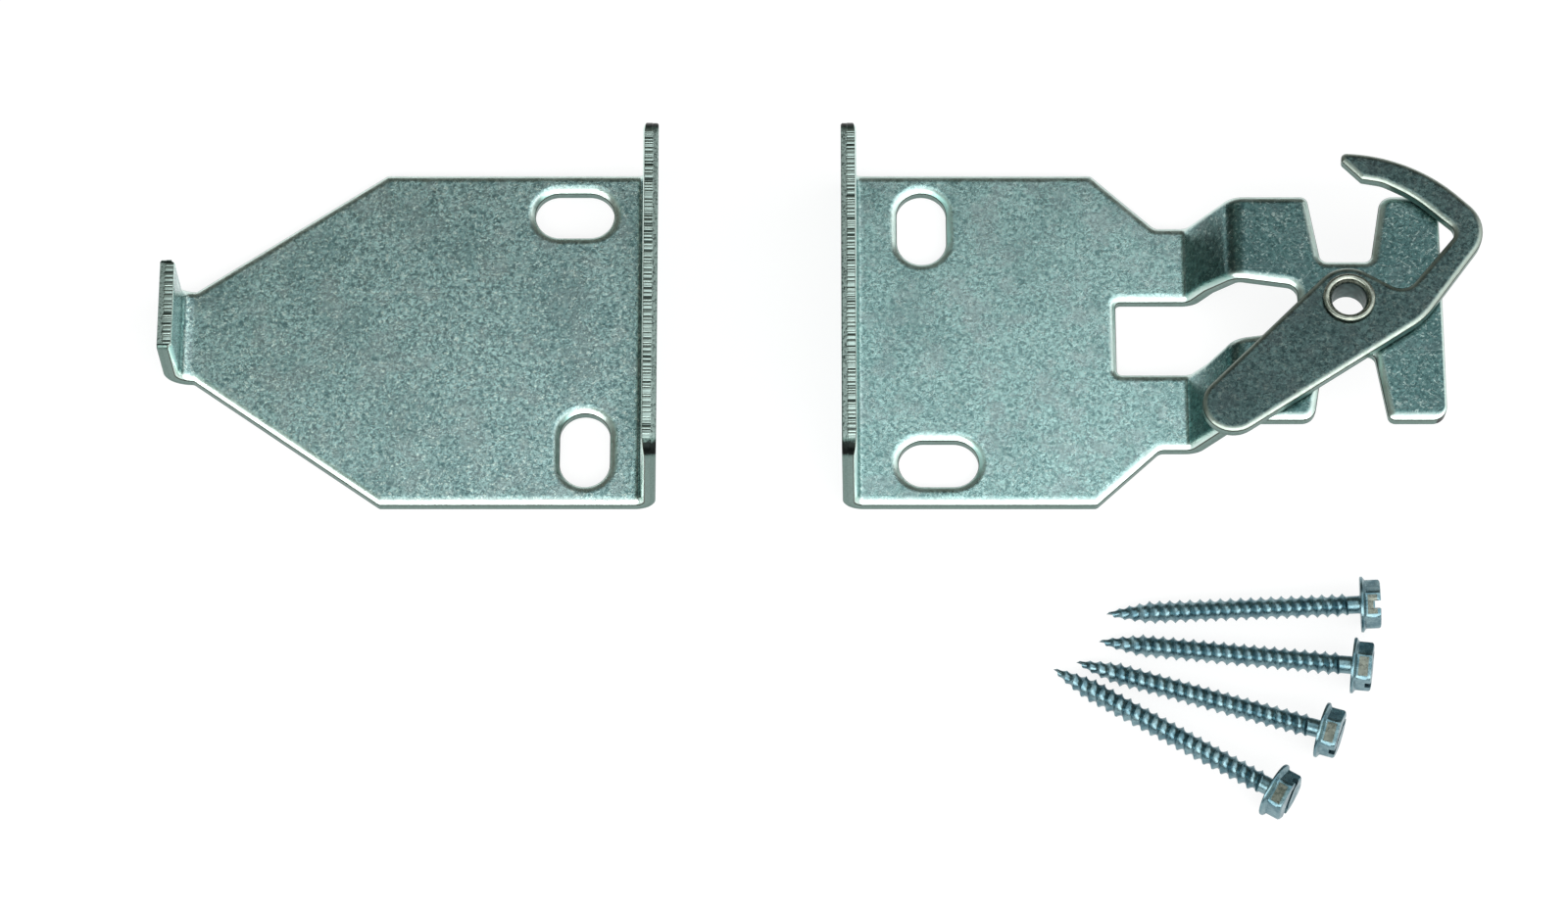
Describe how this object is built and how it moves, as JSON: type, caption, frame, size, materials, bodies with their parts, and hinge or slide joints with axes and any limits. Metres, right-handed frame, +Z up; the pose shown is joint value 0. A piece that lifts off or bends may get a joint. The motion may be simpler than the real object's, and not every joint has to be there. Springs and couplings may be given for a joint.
{
  "type": "stair gate latch",
  "caption": "Zinc-plated steel gate latch set: a folded strike bracket, a cranked latch bracket with a pivoting hook on a hollow rivet, and hexagon washer-head screws.",
  "frame": {"origin": "centre of the set's box, on the surface it lies on", "axes": "+X along the set, from the strike to the latch's hook; +Y up the brackets as they are mounted; +Z up from the surface, along the flanges and the hook's pivot"},
  "size_m": [0.1984, 0.1058, 0.022],
  "materials": {
    "strike_zinc": "bright zinc plate with a cold blue-green cast on 2.3 mm steel sheet, finely mottled, with light handling scratches",
    "latch_zinc": "bright zinc plate with a cold blue-green cast on 2.3 mm steel sheet, finely mottled, with light handling scratches",
    "hook_zinc": "zinc plate, tumbled, a little darker than the brackets, with bright rolled edges",
    "eyelet_zinc": "zinc plate, bright where the rim was rolled over",
    "screw_zinc": "clear blue zinc plate, glossy"
  },
  "bodies": {
    "latch": {"latch_bracket": "latch_zinc", "pivot_eyelet": "eyelet_zinc"},
    "hook": {"hook_lever": "hook_zinc"},
    "strike": {"strike_bracket": "strike_zinc"},
    "screw_1": {"mounting_screw_1": "screw_zinc"},
    "screw_2": {"mounting_screw_2": "screw_zinc"},
    "screw_3": {"mounting_screw_3": "screw_zinc"},
    "screw_4": {"mounting_screw_4": "screw_zinc"}
  },
  "joints": [
    {"name": "hook_pivot", "type": "hinge", "parent": "latch", "child": "hook", "pos_m": [0.07873, 0.02539, 0.0147], "axis": [0, 0, 1], "continuous": true},
    {"name": "strike_lift", "type": "slide", "parent": "latch", "child": "strike", "axis": [0, 0, 1], "range_m": [0, 0.05]},
    {"name": "screw_1_lift", "type": "slide", "parent": "latch", "child": "screw_1", "axis": [0, 0, 1], "range_m": [0, 0.03]},
    {"name": "screw_2_lift", "type": "slide", "parent": "latch", "child": "screw_2", "axis": [0, 0, 1], "range_m": [0, 0.03]},
    {"name": "screw_3_lift", "type": "slide", "parent": "latch", "child": "screw_3", "axis": [0, 0, 1], "range_m": [0, 0.03]},
    {"name": "screw_4_lift", "type": "slide", "parent": "latch", "child": "screw_4", "axis": [0, 0, 1], "range_m": [0, 0.03]}
  ]
}
